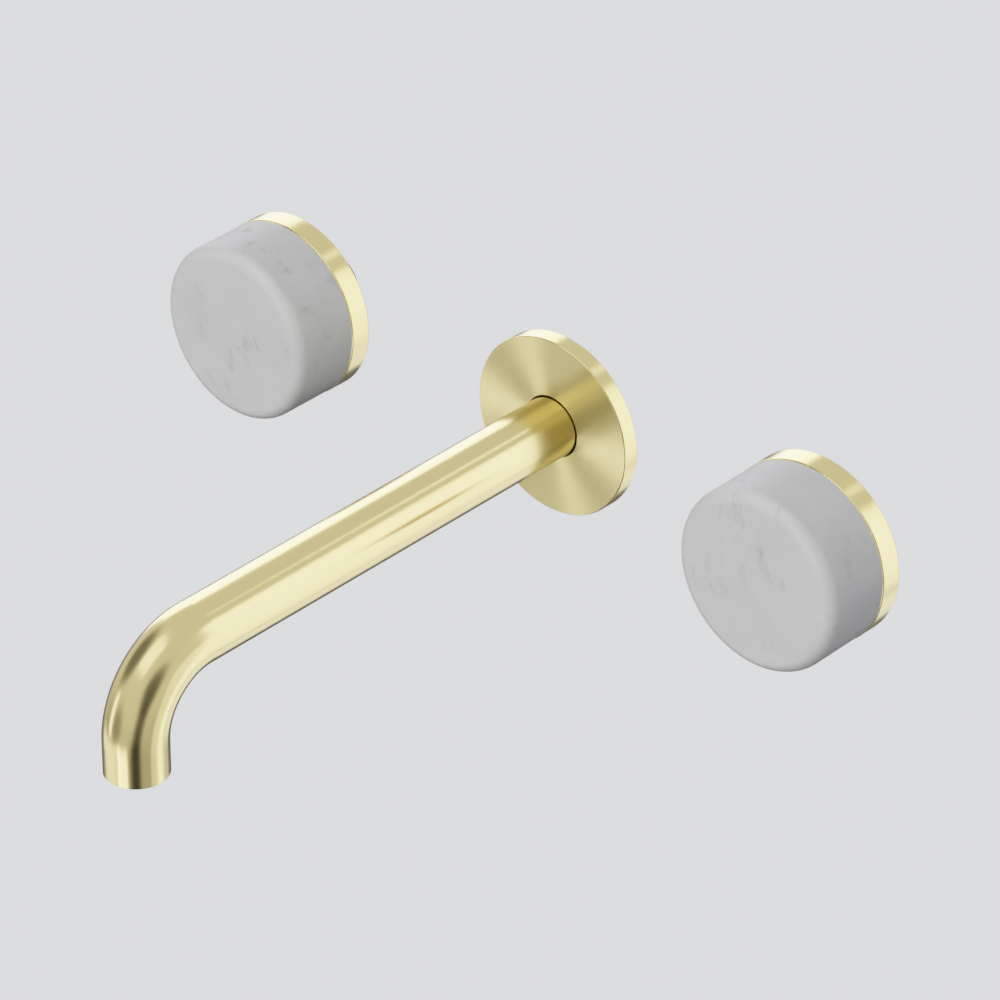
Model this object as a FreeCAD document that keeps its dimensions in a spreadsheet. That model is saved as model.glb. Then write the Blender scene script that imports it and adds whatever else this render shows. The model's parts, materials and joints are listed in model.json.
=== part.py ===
import FreeCAD, Part
import os
import re
import Sketcher

# Wall mounted bath faucet: a long spout with its cover flange between two quarter-turn taps.
#
# The frame: +Z is up, +X runs to the right along the wall, +Y goes into the wall.
# The origin is on the finished wall, on the spout's axis. All sizes are millimetres.
#
# Most pieces are modelled about their own axis, where height is the distance from the wall
# towards the room, and are then turned to face the room.

SIZES = {
    # The three holes in the wall
    "hot_offset": 111.4,            # spout axis to hot tap axis
    "cold_offset": 103.2,           # spout axis to cold tap axis
    # Half inch pipe thread, drawn as its major diameter
    "pipe_radius": 10.4775,
    "pipe_relief_radius": 9.6,
    "pipe_lead": 0.8,               # lead-in chamfer
    # Spout
    "spout_reach": 187.0,           # wall to outlet axis
    "spout_drop": 35.6,             # tube axis to outlet face
    "bend_radius": 25.0,
    "tube_radius": 10.0,
    "tube_wall": 1.5,
    "tube_start": 1.0,              # wall to the back end of the tube
    "braze_gap": 0.02,
    # Spout socket and nipple
    "socket_depth": 31.0,
    "spigot_radius": 5.95,
    "spigot_gap": 0.05,
    "spigot_height": 28.0,
    "nipple_bore": 3.5,
    "nipple_end": 15.5,             # wall to the inner end of the thread
    "nipple_shoulder_radius": 13.5,
    "nipple_shoulder_depth": 2.0,
    "nipple_shoulder_inset": 0.5,   # shoulder face below the wall's face
    "nipple_key": 8.0,              # hexagon key, across its flats
    "nipple_key_depth": 5.0,
    "washer_depth": 1.5,
    "washer_gap": 0.2,
    "nipple_ring_section": 0.6,     # a ring's section is the radius of its round cord
    "ring_gap": 0.02,               # each side of a ring in its groove
    "front_ring_height": 20.0,
    "rear_ring_height": 16.0,
    # Grub screw of the spout
    "spout_grub_height": 11.0,
    "spout_grub_radius": 2.5,
    "spout_grub_length": 4.4,
    "spout_grub_key": 2.5,
    "grub_gap": 0.03,
    "grub_seat_depth": 1.2,
    # Spout cover flange
    "flange_radius": 30.0,
    "flange_depth": 5.7,
    "flange_web": 2.5,
    "flange_rim": 3.6,
    "flange_hub": 3.6,
    "flange_bore_gap": 0.4,
    "flange_edge": 0.5,
    "cover_ring_section": 0.9,
    "cover_ring_play": 0.05,
    "cover_ring_height": 2.2,
    "foam_width": 4.0,
    "foam_gap": 0.05,
    # Outlet and flow straightener
    "outlet_recess": 0.8,
    "housing_depth": 6.8,
    "housing_wall": 1.15,
    "housing_floor": 1.4,
    "housing_gap": 0.05,
    "collar_wall": 0.68,
    "collar_ledge": 1.4,
    "collar_lip": 1.6,
    "outlet_seal_depth": 1.2,
    "insert_foot": 0.65,
    "insert_depth": 3.4,
    "insert_web": 2.2,
    "screen_depth": 0.4,
    "jet_radius": 0.62,
    "jet_margin": 1.38,             # jets to the housing's wall
    # Tap handle
    "handle_gap": 1.0,              # wall to the back of the handle
    "handle_radius": 30.0,
    "handle_ring_depth": 7.5,
    "handle_edge": 0.4,
    "handle_rebate_gap": 0.6,
    "handle_boss_wall": 2.45,
    "handle_boss_depth": 13.5,
    "marble_radius": 29.8,
    "marble_depth": 24.1,
    "marble_round": 4.0,
    "marble_arris": 0.25,
    "marble_bond": 0.1,
    "marble_well_gap": 0.4,
    # Grub screw of the handle
    "handle_grub_radius": 1.5,
    "handle_grub_length": 6.0,
    "handle_grub_key": 1.5,
    "handle_grub_seat": 0.8,
    # Carrier between the handle and the spindle
    "carrier_radius": 14.5,
    "carrier_gap": 0.05,
    "carrier_wall": 1.9,
    "carrier_skirt_gap": 0.6,
    "carrier_hub": 6.4,
    "carrier_head_well": 3.6,
    "carrier_screw_radius": 2.0,
    "carrier_screw_length": 11.0,
    "carrier_head_radius": 4.7,
    "carrier_head_depth": 2.2,
    "carrier_head_gap": 0.3,
    "carrier_key": 2.5,
    "carrier_key_depth": 1.3,
    # Escutcheon and its nut
    "plate_radius": 25.0,
    "plate_depth": 3.6,
    "plate_floor": 1.2,
    "plate_bore_gap": 0.3,
    "nut_flats": 30.0,
    "nut_gap": 0.3,
    "plate_gasket_width": 3.0,
    "plate_gasket_depth": 1.0,
    "plate_gasket_inset": 3.0,
    "gasket_gap": 0.05,
    # Headwork
    "headwork_end": 16.0,
    "headwork_thread_end": 10.4,
    "headwork_shoulder_radius": 13.0,
    "headwork_shoulder_depth": 1.9,
    "headwork_shoulder_inset": 0.3,
    "headwork_relief": 1.7,
    "headwork_top_radius": 12.0,
    "headwork_top_height": 8.0,
    "headwork_flats": 19.0,
    "headwork_hex_depth": 5.0,
    "gland_radius": 8.0,
    "gland_depth": 2.5,
    "nose_radius": 9.2,
    "chamber_radius": 8.2,
    "chamber_top": 7.5,
    "port_width": 9.0,
    "port_depth": 1.9,
    "port_inset": 0.1,
    "thread_gap": 0.02,
    "head_ring_section": 0.8,
    # Spindle
    "spindle_radius": 4.8,
    "spindle_gap": 0.05,
    "spindle_shoulder_height": 17.0,
    "spline_radius": 4.0,
    "spline_depth": 6.0,
    "spline_gap": 0.05,
    "spindle_flange_radius": 6.4,
    "spindle_flange_depth": 2.1,
    "spindle_ring_section": 0.5,
    "spindle_ring_front": 6.0,
    "spindle_ring_rear": 2.0,
    "clip_groove_depth": 0.9,
    "clip_thickness": 0.8,
    "clip_radius": 6.5,
    "clip_gap": 0.05,
    "clip_opening": 5.0,
    "tongue_width": 2.3,
    "tongue_length": 11.8,
    "tongue_depth": 0.85,
    # Quarter-turn stop inside the headwork
    "turn_angle": 90.0,
    "lug_angle": 30.0,
    "lug_rest_angle": 45.0,
    "lug_radius": 7.9,
    "stop_margin_angle": 3.0,
    "stop_inner_radius": 6.7,
    # Thrust washer, ceramic discs and seat seal
    "stack_gap": 0.05,
    "thrust_depth": 0.6,
    "disc_radius": 8.0,
    "moving_disc_radius": 7.6,
    "moving_disc_depth": 2.1,
    "fixed_disc_depth": 2.4,
    "lapped_gap": 0.02,
    "window_radius": 6.2,
    "window_core": 1.8,
    "window_angle": 80.0,
    "slot_gap": 0.05,
    "tab_width": 3.0,
    "tab_reach": 8.9,
    "seat_seal_inner": 5.0,
    "seat_seal_proud": 0.8,
    "seat_seal_gap": 0.1,
}

OUTLET_PORTS = 2
INNER_JETS = 6
OUTER_JETS = 12
SPLINE_SQUARES = 5                  # squares turned about one axis make the 20 spline teeth
CLOSE = 1e-4                        # how near a found edge lies to the place asked for
CUT_PAST = 1.0                      # how far a cut runs past what it cuts

document = FreeCAD.newDocument("wall_bath_faucet")
sheet = document.addObject("Spreadsheet::Sheet", "Sizes")
for row, (alias, value) in enumerate(SIZES.items(), start=1):
    sheet.set(f"A{row}", alias)
    sheet.set(f"B{row}", str(value))
    sheet.setAlias(f"B{row}", alias)
document.recompute()

subparts = []


# ---------------------------------------------------------------- expressions and places

def bound(text):
    """The expression with each size's name pointing at its cell in the sheet."""
    def cell(match):
        return f"Sizes.{match.group()}" if match.group() in SIZES else match.group()
    return re.sub(r"[a-z]+(?:_[a-z]+)+", cell, text)


def number(text):
    """The expression's value now."""
    return float(sheet.evalExpression(bound(text)))


def bind(item, name, text):
    """Ties a property to an expression."""
    item.setExpression(name, bound(text))


def stand(item, x="0", height="0", facing_room=True):
    """Puts a piece on its axis, facing the room or left upright, at a height off the wall."""
    turn = 90 if facing_room else 0
    item.Placement = FreeCAD.Placement(FreeCAD.Vector(), FreeCAD.Rotation(FreeCAD.Vector(1, 0, 0), turn))
    bind(item, "Placement.Base.x", x)
    bind(item, "Placement.Base.y", f"-({height})")


def keep(item, label):
    """Takes a finished piece into the list of sub-parts under its own name."""
    item.Label = label
    subparts.append(item)
    return item


# ---------------------------------------------------------------- sketches

def new_sketch(body, role, name, offset="0"):
    """A sketch on one of the body's own planes, moved along the plane's normal."""
    plane = next(item for item in body.Origin.OriginFeatures if item.Role == role)
    sketch = body.newObject("Sketcher::SketchObject", name)
    sketch.AttachmentSupport = (plane, [""])
    sketch.MapMode = "FlatFace"
    bind(sketch, "AttachmentOffset.Base.z", offset)
    return sketch


def pin_point(sketch, edge, end, x, y):
    """Ties a point of the sketch to two expressions."""
    for kind, text, axis in (("DistanceX", x, -2), ("DistanceY", y, -1)):
        if abs(number(text)) < CLOSE:
            sketch.addConstraint(Sketcher.Constraint("PointOnObject", edge, end, axis))
        else:
            row = sketch.addConstraint(Sketcher.Constraint(kind, -1, 1, edge, end, number(text)))
            bind(sketch, f"Constraints[{row}]", text)


def add_outline(sketch, corners):
    """A closed outline of straight lines whose corners are pairs of expressions."""
    points = [FreeCAD.Vector(number(x), number(y), 0) for x, y in corners]
    first = sketch.GeometryCount
    count = len(points)
    for index in range(count):
        sketch.addGeometry(Part.LineSegment(points[index], points[(index + 1) % count]), False)
    for index in range(count):
        following = first + (index + 1) % count
        sketch.addConstraint(Sketcher.Constraint("Coincident", first + index, 2, following, 1))
    for index, (x, y) in enumerate(corners):
        pin_point(sketch, first + index, 1, x, y)


def add_circle(sketch, radius, x="0", y="0"):
    """A circle about a point given by two expressions."""
    centre = FreeCAD.Vector(number(x), number(y), 0)
    circle = Part.Circle(centre, FreeCAD.Vector(0, 0, 1), number(radius))
    edge = sketch.addGeometry(circle, False)
    row = sketch.addConstraint(Sketcher.Constraint("Radius", edge, number(radius)))
    bind(sketch, f"Constraints[{row}]", radius)
    pin_point(sketch, edge, 3, x, y)


def polygon_corners(sides, circumradius):
    """The corners of a regular polygon, none of them on an axis of the sketch."""
    step = 360 / sides
    start = step / 2 if sides == 4 else step / 4
    angles = [start + step * index for index in range(sides)]
    return [
        (f"({circumradius}) * cos({angle} deg)", f"({circumradius}) * sin({angle} deg)")
        for angle in angles
    ]


def hexagon_corners(flats):
    """The corners of a hexagon of that size across its flats."""
    return polygon_corners(6, f"({flats}) / 2 / cos(30 deg)")


def rectangle_corners(width, length):
    """The corners of a rectangle about the sketch's origin."""
    half_x = f"({width}) / 2"
    half_y = f"({length}) / 2"
    return [
        (half_x, half_y),
        (f"-{half_x}", half_y),
        (f"-{half_x}", f"-{half_y}"),
        (half_x, f"-{half_y}"),
    ]


# ---------------------------------------------------------------- features

def new_body(label):
    return document.addObject("PartDesign::Body", label)


def turned(label, profile):
    """A body turned about its axis from a profile of (radius, height) pairs."""
    body = new_body(label)
    sketch = new_sketch(body, "XZ_Plane", f"{label}_profile")
    add_outline(sketch, profile)
    turning = body.newObject("PartDesign::Revolution", f"{label}_turning")
    turning.Profile = sketch
    turning.ReferenceAxis = (sketch, ["V_Axis"])
    turning.Angle = 360
    document.recompute()
    return body


def add_pad(body, name, corners, start, depth, bore=None):
    """A straight prism grown away from the wall from a height."""
    sketch = new_sketch(body, "XY_Plane", f"{name}_sketch", start)
    add_outline(sketch, corners)
    if bore:
        add_circle(sketch, bore)
    pad = body.newObject("PartDesign::Pad", name)
    pad.Profile = sketch
    bind(pad, "Length", depth)
    document.recompute()
    return pad


def add_pocket(body, name, start, depth, corners=None, circles=(), outward=False):
    """A straight cut from a height, towards the wall or towards the room."""
    before = body.Shape.Volume
    sketch = new_sketch(body, "XY_Plane", f"{name}_sketch", start)
    if corners:
        add_outline(sketch, corners)
    for radius, x, y in circles:
        add_circle(sketch, radius, x, y)
    pocket = body.newObject("PartDesign::Pocket", name)
    pocket.Profile = sketch
    pocket.Reversed = outward
    bind(pocket, "Length", depth)
    document.recompute()
    assert body.Shape.Volume < before - CLOSE, f"{name} cuts nothing"
    return pocket


def add_side_cut(body, name, depth, corners=None, circles=(), both_ways=False):
    """A cut across the axis, downwards from the axis or both ways."""
    before = body.Shape.Volume
    sketch = new_sketch(body, "XZ_Plane", f"{name}_sketch")
    if corners:
        add_outline(sketch, corners)
    for radius, x, y in circles:
        add_circle(sketch, radius, x, y)
    pocket = body.newObject("PartDesign::Pocket", name)
    pocket.Profile = sketch
    pocket.Midplane = both_ways
    pocket.Reversed = not both_ways
    bind(pocket, "Length", f"2 * ({depth})" if both_ways else depth)
    document.recompute()
    assert body.Shape.Volume < before - CLOSE, f"{name} cuts nothing"
    return pocket


def add_polar(body, name, feature, count, sweep=360):
    """Repeats a feature about the body's axis."""
    pattern = body.newObject("PartDesign::PolarPattern", name)
    pattern.Originals = [feature]
    pattern.Axis = (feature.Profile[0], ["N_Axis"])
    pattern.Angle = sweep
    pattern.Occurrences = count
    body.Tip = pattern
    document.recompute()
    return pattern


def add_edge_finish(body, kind, name, size, places):
    """Rounds or chamfers the circular edges at (radius, height) places."""
    wanted = [(number(radius), number(height)) for radius, height in places]
    base = body.Tip
    edges = []
    for index, edge in enumerate(base.Shape.Edges, start=1):
        if not isinstance(edge.Curve, Part.Circle):
            continue
        radius, height = edge.Curve.Radius, edge.Curve.Center.z
        if any(abs(radius - r) < CLOSE and abs(height - z) < CLOSE for r, z in wanted):
            edges.append(f"Edge{index}")
    assert len(edges) == len(places), f"{name} finds {len(edges)} of {len(places)} edges"
    finish = body.newObject(f"PartDesign::{kind}", name)
    finish.Base = (base, edges)
    bind(finish, "Radius" if kind == "Fillet" else "Size", size)
    document.recompute()
    return finish


def torus(label, ring_radius, section, x, height):
    """A rubber ring of round section."""
    ring = document.addObject("Part::Torus", label)
    bind(ring, "Radius1", ring_radius)
    bind(ring, "Radius2", section)
    stand(ring, x, height)
    return keep(ring, label)


def cylinder(name, radius, depth, start="0", sweep=None, first_angle="0"):
    """A cylinder or a slice of one about the axis, from a height, for joining or cutting."""
    item = document.addObject("Part::Cylinder", name)
    bind(item, "Radius", radius)
    bind(item, "Height", depth)
    if sweep:
        bind(item, "Angle", sweep)
    item.Placement = FreeCAD.Placement(FreeCAD.Vector(), FreeCAD.Rotation(FreeCAD.Vector(0, 0, 1), 1))
    bind(item, "Placement.Rotation.Angle", first_angle)
    bind(item, "Placement.Base.z", start)
    return item


def boolean(kind, name, first, second):
    """One shape cut from another, or the two joined."""
    item = document.addObject(f"Part::{kind}", name)
    item.Base = first
    item.Tool = second
    document.recompute()
    return item


def ring_slice(name, inner, outer, depth, start, sweep, first_angle):
    """Part of a flat ring, between two radii and over an angle."""
    slice_outer = cylinder(f"{name}_outer", outer, depth, start, sweep, first_angle)
    slice_inner = cylinder(f"{name}_inner", inner, depth, start)
    return boolean("Cut", name, slice_outer, slice_inner)


def grub_screw(label, radius, length, key, x, height, outer_end):
    """A set screw with a hexagon socket below and a cone point above, upright below an axis."""
    core = f"({radius} - grub_gap)"
    body = turned(label, [
        ("0", "0"),
        (core, "0"),
        (core, f"{length} - {core}"),
        ("0", length),
    ])
    add_pocket(body, f"{label}_key", "0", f"{length} / 2", hexagon_corners(key), outward=True)
    stand(body, x, height, facing_room=False)
    bind(body, "Placement.Base.z", f"-({outer_end})")
    return keep(body, label)


# ---------------------------------------------------------------- spout

TUBE_BORE = "(tube_radius - tube_wall)"
STRAIGHT_END = "(spout_reach - bend_radius)"


def spout_tube():
    """One bent tube: the straight run, a right-angle bend and the drop to the outlet."""
    body = new_body("spout_tube")
    path = new_sketch(body, "YZ_Plane", "spout_tube_path")
    start, bend = number("tube_start"), number(STRAIGHT_END)
    radius, drop = number("bend_radius"), number("spout_drop")
    reach = number("spout_reach")
    point = FreeCAD.Vector
    quarter = Part.Circle(point(-radius, bend, 0), point(0, 0, 1), radius)
    run = path.addGeometry(Part.LineSegment(point(0, start, 0), point(0, bend, 0)), False)
    arc = path.addGeometry(Part.ArcOfCircle(quarter, 0, 1.5707963), False)
    fall = path.addGeometry(Part.LineSegment(point(-radius, reach, 0), point(-drop, reach, 0)), False)
    path.addConstraint(Sketcher.Constraint("Tangent", run, 2, arc, 1))
    path.addConstraint(Sketcher.Constraint("Tangent", arc, 2, fall, 1))
    path.addConstraint(Sketcher.Constraint("Vertical", run))
    path.addConstraint(Sketcher.Constraint("Horizontal", fall))
    pin_point(path, run, 1, "0", "tube_start")
    row = path.addConstraint(Sketcher.Constraint("DistanceY", -1, 1, run, 2, bend))
    bind(path, f"Constraints[{row}]", STRAIGHT_END)
    row = path.addConstraint(Sketcher.Constraint("Radius", arc, radius))
    bind(path, f"Constraints[{row}]", "bend_radius")
    row = path.addConstraint(Sketcher.Constraint("DistanceX", -1, 1, fall, 2, -drop))
    bind(path, f"Constraints[{row}]", "-spout_drop")

    section = new_sketch(body, "XY_Plane", "spout_tube_section", "tube_start")
    add_circle(section, "tube_radius")
    add_circle(section, TUBE_BORE)
    tube = body.newObject("PartDesign::AdditivePipe", "spout_tube_sweep")
    tube.Profile = section
    tube.Spine = (path, ["Edge1", "Edge2", "Edge3"])
    document.recompute()
    hole = ("spout_grub_radius", "0", "spout_grub_height")
    add_side_cut(body, "spout_tube_grub_hole", f"tube_radius + {CUT_PAST}", circles=[hole])
    stand(body)
    return keep(body, "spout_tube")


def spout_socket():
    """The sleeve brazed into the back of the tube, bored for the nipple's spigot."""
    outer = f"({TUBE_BORE} - braze_gap)"
    bore = "(spigot_radius + spigot_gap)"
    top = "(tube_start + socket_depth)"
    body = turned("spout_socket", [
        (bore, "tube_start"),
        (outer, "tube_start"),
        (outer, top),
        (bore, top),
    ])
    hole = ("spout_grub_radius", "0", "spout_grub_height")
    add_side_cut(body, "spout_socket_grub_hole", "tube_radius", circles=[hole])
    stand(body)
    return keep(body, "spout_socket")


RING_RECESS = "(2 * nipple_ring_section + 2 * ring_gap)"
RING_FLOOR = f"(spigot_radius + spigot_gap - {RING_RECESS})"
NIPPLE_FACE = "(-nipple_shoulder_inset)"
NIPPLE_SEAT = f"({NIPPLE_FACE} - nipple_shoulder_depth)"
NIPPLE_THREAD_TOP = f"({NIPPLE_SEAT} - washer_depth - washer_gap)"


def spout_nipple():
    """The threaded connector in the wall, with the spigot that carries the spout."""
    half_groove = f"({RING_RECESS} / 2)"
    seat_top = "(spout_grub_height + grub_seat_depth)"
    seat_bottom = "(spout_grub_height - grub_seat_depth)"
    profile = [
        ("nipple_bore", "-nipple_end"),
        ("pipe_radius - pipe_lead", "-nipple_end"),
        ("pipe_radius", "-nipple_end + pipe_lead"),
        ("pipe_radius", NIPPLE_THREAD_TOP),
        ("pipe_relief_radius", NIPPLE_THREAD_TOP),
        ("pipe_relief_radius", NIPPLE_SEAT),
        ("nipple_shoulder_radius", NIPPLE_SEAT),
        ("nipple_shoulder_radius", NIPPLE_FACE),
        ("spigot_radius", NIPPLE_FACE),
        ("spigot_radius", seat_bottom),
        ("spigot_radius - grub_seat_depth", "spout_grub_height"),
        ("spigot_radius", seat_top),
    ]
    for height in ("rear_ring_height", "front_ring_height"):
        profile += [
            ("spigot_radius", f"{height} - {half_groove}"),
            (RING_FLOOR, f"{height} - {half_groove}"),
            (RING_FLOOR, f"{height} + {half_groove}"),
            ("spigot_radius", f"{height} + {half_groove}"),
        ]
    profile += [
        ("spigot_radius", "spigot_height"),
        ("nipple_bore", "spigot_height"),
    ]
    body = turned("spout_nipple", profile)
    key = hexagon_corners("nipple_key")
    add_pocket(body, "spout_nipple_key", "spigot_height", "nipple_key_depth", key)
    stand(body)
    return keep(body, "spout_nipple")


def nipple_seals():
    """The washer behind the nipple's shoulder and the two rings on its spigot."""
    inner = "(pipe_relief_radius + washer_gap)"
    body = turned("nipple_washer", [
        (inner, f"{NIPPLE_SEAT} - washer_depth"),
        ("nipple_shoulder_radius", f"{NIPPLE_SEAT} - washer_depth"),
        ("nipple_shoulder_radius", NIPPLE_SEAT),
        (inner, NIPPLE_SEAT),
    ])
    stand(body)
    keep(body, "nipple_washer")
    middle = f"{RING_FLOOR} + {RING_RECESS} / 2"
    torus("nipple_ring_rear", middle, "nipple_ring_section", "0", "rear_ring_height")
    torus("nipple_ring_front", middle, "nipple_ring_section", "0", "front_ring_height")


FLANGE_BORE = "(tube_radius + flange_bore_gap)"
COVER_RING_FLOOR = "(tube_radius + 2 * cover_ring_section + 2 * cover_ring_play)"


def spout_cover():
    """The cover flange that slides on the tube, its grip ring and its foam gasket."""
    recess = "(flange_depth - flange_web)"
    hub = f"({FLANGE_BORE} + flange_hub)"
    rim = "(flange_radius - flange_rim)"
    groove_low = "(cover_ring_height - cover_ring_section - cover_ring_play)"
    groove_high = "(cover_ring_height + cover_ring_section + cover_ring_play)"
    body = turned("spout_flange", [
        (FLANGE_BORE, "0"),
        (hub, "0"),
        (hub, recess),
        (rim, recess),
        (rim, "0"),
        ("flange_radius", "0"),
        ("flange_radius", "flange_depth"),
        (FLANGE_BORE, "flange_depth"),
        (FLANGE_BORE, groove_high),
        (COVER_RING_FLOOR, groove_high),
        (COVER_RING_FLOOR, groove_low),
        (FLANGE_BORE, groove_low),
    ])
    front_edge = [("flange_radius", "flange_depth")]
    add_edge_finish(body, "Fillet", "spout_flange_edge", "flange_edge", front_edge)
    stand(body)
    keep(body, "spout_flange")

    middle = "tube_radius + cover_ring_play + cover_ring_section"
    torus("spout_flange_ring", middle, "cover_ring_section", "0", "cover_ring_height")

    outer = f"({rim} - foam_gap)"
    foam = turned("spout_flange_gasket", [
        (f"{outer} - foam_width", "0"),
        (outer, "0"),
        (outer, recess),
        (f"{outer} - foam_width", recess),
    ])
    stand(foam)
    keep(foam, "spout_flange_gasket")


def outlet_piece(body, label):
    """Stands a piece that is modelled upwards from the outlet face in the end of the spout."""
    stand(body, "0", "spout_reach", facing_room=False)
    bind(body, "Placement.Base.z", "-spout_drop")
    return keep(body, label)


def outlet():
    """The threaded collar in the spout's end and the flow straightener screwed into it."""
    collar_outer = f"({TUBE_BORE} - braze_gap)"
    thread = f"({collar_outer} - collar_wall)"
    housing = f"({thread} - housing_gap)"
    cup = f"({housing} - housing_wall)"
    housing_top = "(outlet_recess + housing_depth)"
    floor = "(outlet_recess + housing_floor)"
    ledge = f"({housing_top} + outlet_seal_depth)"
    outer_circle = f"({cup} - jet_margin - jet_radius)"
    inner_circle = f"({outer_circle} / 2)"

    collar = turned("outlet_collar", [
        (thread, "outlet_recess"),
        (collar_outer, "outlet_recess"),
        (collar_outer, f"{ledge} + collar_ledge"),
        (f"{thread} - collar_lip", f"{ledge} + collar_ledge"),
        (f"{thread} - collar_lip", ledge),
        (thread, ledge),
    ])
    outlet_piece(collar, "outlet_collar")

    body = turned("aerator_housing", [
        ("0", "outlet_recess"),
        (housing, "outlet_recess"),
        (housing, housing_top),
        (cup, housing_top),
        (cup, floor),
        ("0", floor),
    ])
    for name, circle, count in (("inner", inner_circle, INNER_JETS), ("outer", outer_circle, OUTER_JETS)):
        jet = add_pocket(body, f"aerator_{name}_jet", floor, "housing_floor", circles=[
            ("jet_radius", circle, "0"),
        ])
        add_polar(body, f"aerator_{name}_jets", jet, count)
    outlet_piece(body, "aerator_housing")

    insert_radius = f"({cup} - housing_gap)"
    insert_top = f"({floor} + insert_depth)"
    body = turned("aerator_insert", [
        (f"{insert_radius} - insert_foot", floor),
        (insert_radius, floor),
        (insert_radius, insert_top),
        ("0", insert_top),
        ("0", f"{insert_top} - insert_web"),
        (f"{insert_radius} - insert_foot", f"{insert_top} - insert_web"),
    ])
    jet = add_pocket(body, "aerator_insert_jet", insert_top, "insert_depth", circles=[
        ("jet_radius", outer_circle, "0"),
    ])
    add_polar(body, "aerator_insert_jets", jet, OUTER_JETS)
    outlet_piece(body, "aerator_insert")

    body = turned("aerator_screen", [
        ("0", insert_top),
        (insert_radius, insert_top),
        (insert_radius, f"{insert_top} + screen_depth"),
        ("0", f"{insert_top} + screen_depth"),
    ])
    outlet_piece(body, "aerator_screen")

    body = turned("aerator_seal", [
        (f"{thread} - collar_lip", housing_top),
        (housing, housing_top),
        (housing, ledge),
        (f"{thread} - collar_lip", ledge),
    ])
    outlet_piece(body, "aerator_seal")


# ---------------------------------------------------------------- taps

RING_BACK = "handle_gap"
RING_FRONT = "(handle_gap + handle_ring_depth)"
WEB_BACK = "(plate_depth + handle_rebate_gap)"
GRUB_HEIGHT = f"(({WEB_BACK} + {RING_FRONT}) / 2)"
CARRIER_BORE = "(carrier_radius + carrier_gap)"
MARBLE_FRONT = f"({RING_FRONT} + marble_depth)"
HUB_TOP = "(spindle_shoulder_height + carrier_hub)"
HUB_FRONT = f"({HUB_TOP} + carrier_head_well)"
MARBLE_WELL = f"({HUB_FRONT} + marble_well_gap)"
HEX_TOP = "(headwork_top_height + headwork_hex_depth)"
GLAND_TOP = f"({HEX_TOP} + gland_depth)"
CHAMBER_TOP = "(-chamber_top)"
SPINDLE_FLANGE_TOP = f"({CHAMBER_TOP} - thrust_depth - 2 * stack_gap)"
SPINDLE_FLANGE_BACK = f"({SPINDLE_FLANGE_TOP} - spindle_flange_depth)"
MOVING_DISC_TOP = f"({SPINDLE_FLANGE_BACK} - stack_gap)"
MOVING_DISC_BACK = f"({MOVING_DISC_TOP} - moving_disc_depth)"
FIXED_DISC_TOP = f"({MOVING_DISC_BACK} - lapped_gap)"
FIXED_DISC_BACK = f"({FIXED_DISC_TOP} - fixed_disc_depth)"
HEADWORK_END = "(-headwork_end)"
SHOULDER_FACE = "(-headwork_shoulder_inset)"
SHOULDER_SEAT = f"({SHOULDER_FACE} - headwork_shoulder_depth)"
THREAD_TOP = f"({SHOULDER_SEAT} - headwork_relief)"
THREAD_END = "(-headwork_thread_end)"
SPINDLE_BORE = "(spindle_radius + spindle_gap)"
SPINDLE_RING_RECESS = "(2 * spindle_ring_section + 2 * ring_gap)"


def marble_knob(side, x):
    """The stone knob, hollowed behind for the handle's boss, its front edge well rounded."""
    label = f"{side}_marble_knob"
    well = f"({CARRIER_BORE} + handle_boss_wall + marble_bond)"
    body = turned(label, [
        (well, RING_FRONT),
        ("marble_radius", RING_FRONT),
        ("marble_radius", MARBLE_FRONT),
        ("0", MARBLE_FRONT),
        ("0", MARBLE_WELL),
        (well, MARBLE_WELL),
    ])
    add_edge_finish(body, "Fillet", f"{label}_round", "marble_round", [("marble_radius", MARBLE_FRONT)])
    add_edge_finish(body, "Chamfer", f"{label}_arris", "marble_arris", [("marble_radius", RING_FRONT)])
    stand(body, x)
    return keep(body, label)


def handle_base(side, x):
    """The brass ring behind the knob, rebated over the escutcheon, with the boss the knob is bonded to."""
    label = f"{side}_handle_base"
    rebate = "(plate_radius + handle_rebate_gap)"
    boss = f"({CARRIER_BORE} + handle_boss_wall)"
    boss_top = f"({RING_FRONT} + handle_boss_depth)"
    body = turned(label, [
        (rebate, RING_BACK),
        ("handle_radius", RING_BACK),
        ("handle_radius", RING_FRONT),
        (boss, RING_FRONT),
        (boss, boss_top),
        (CARRIER_BORE, boss_top),
        (CARRIER_BORE, WEB_BACK),
        (rebate, WEB_BACK),
    ])
    edges = [("handle_radius", RING_BACK), ("handle_radius", RING_FRONT)]
    add_edge_finish(body, "Fillet", f"{label}_edges", "handle_edge", edges)
    hole = ("handle_grub_radius", "0", GRUB_HEIGHT)
    add_side_cut(body, f"{label}_grub_hole", f"handle_radius + {CUT_PAST}", circles=[hole])
    stand(body, x)
    return keep(body, label)


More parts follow.
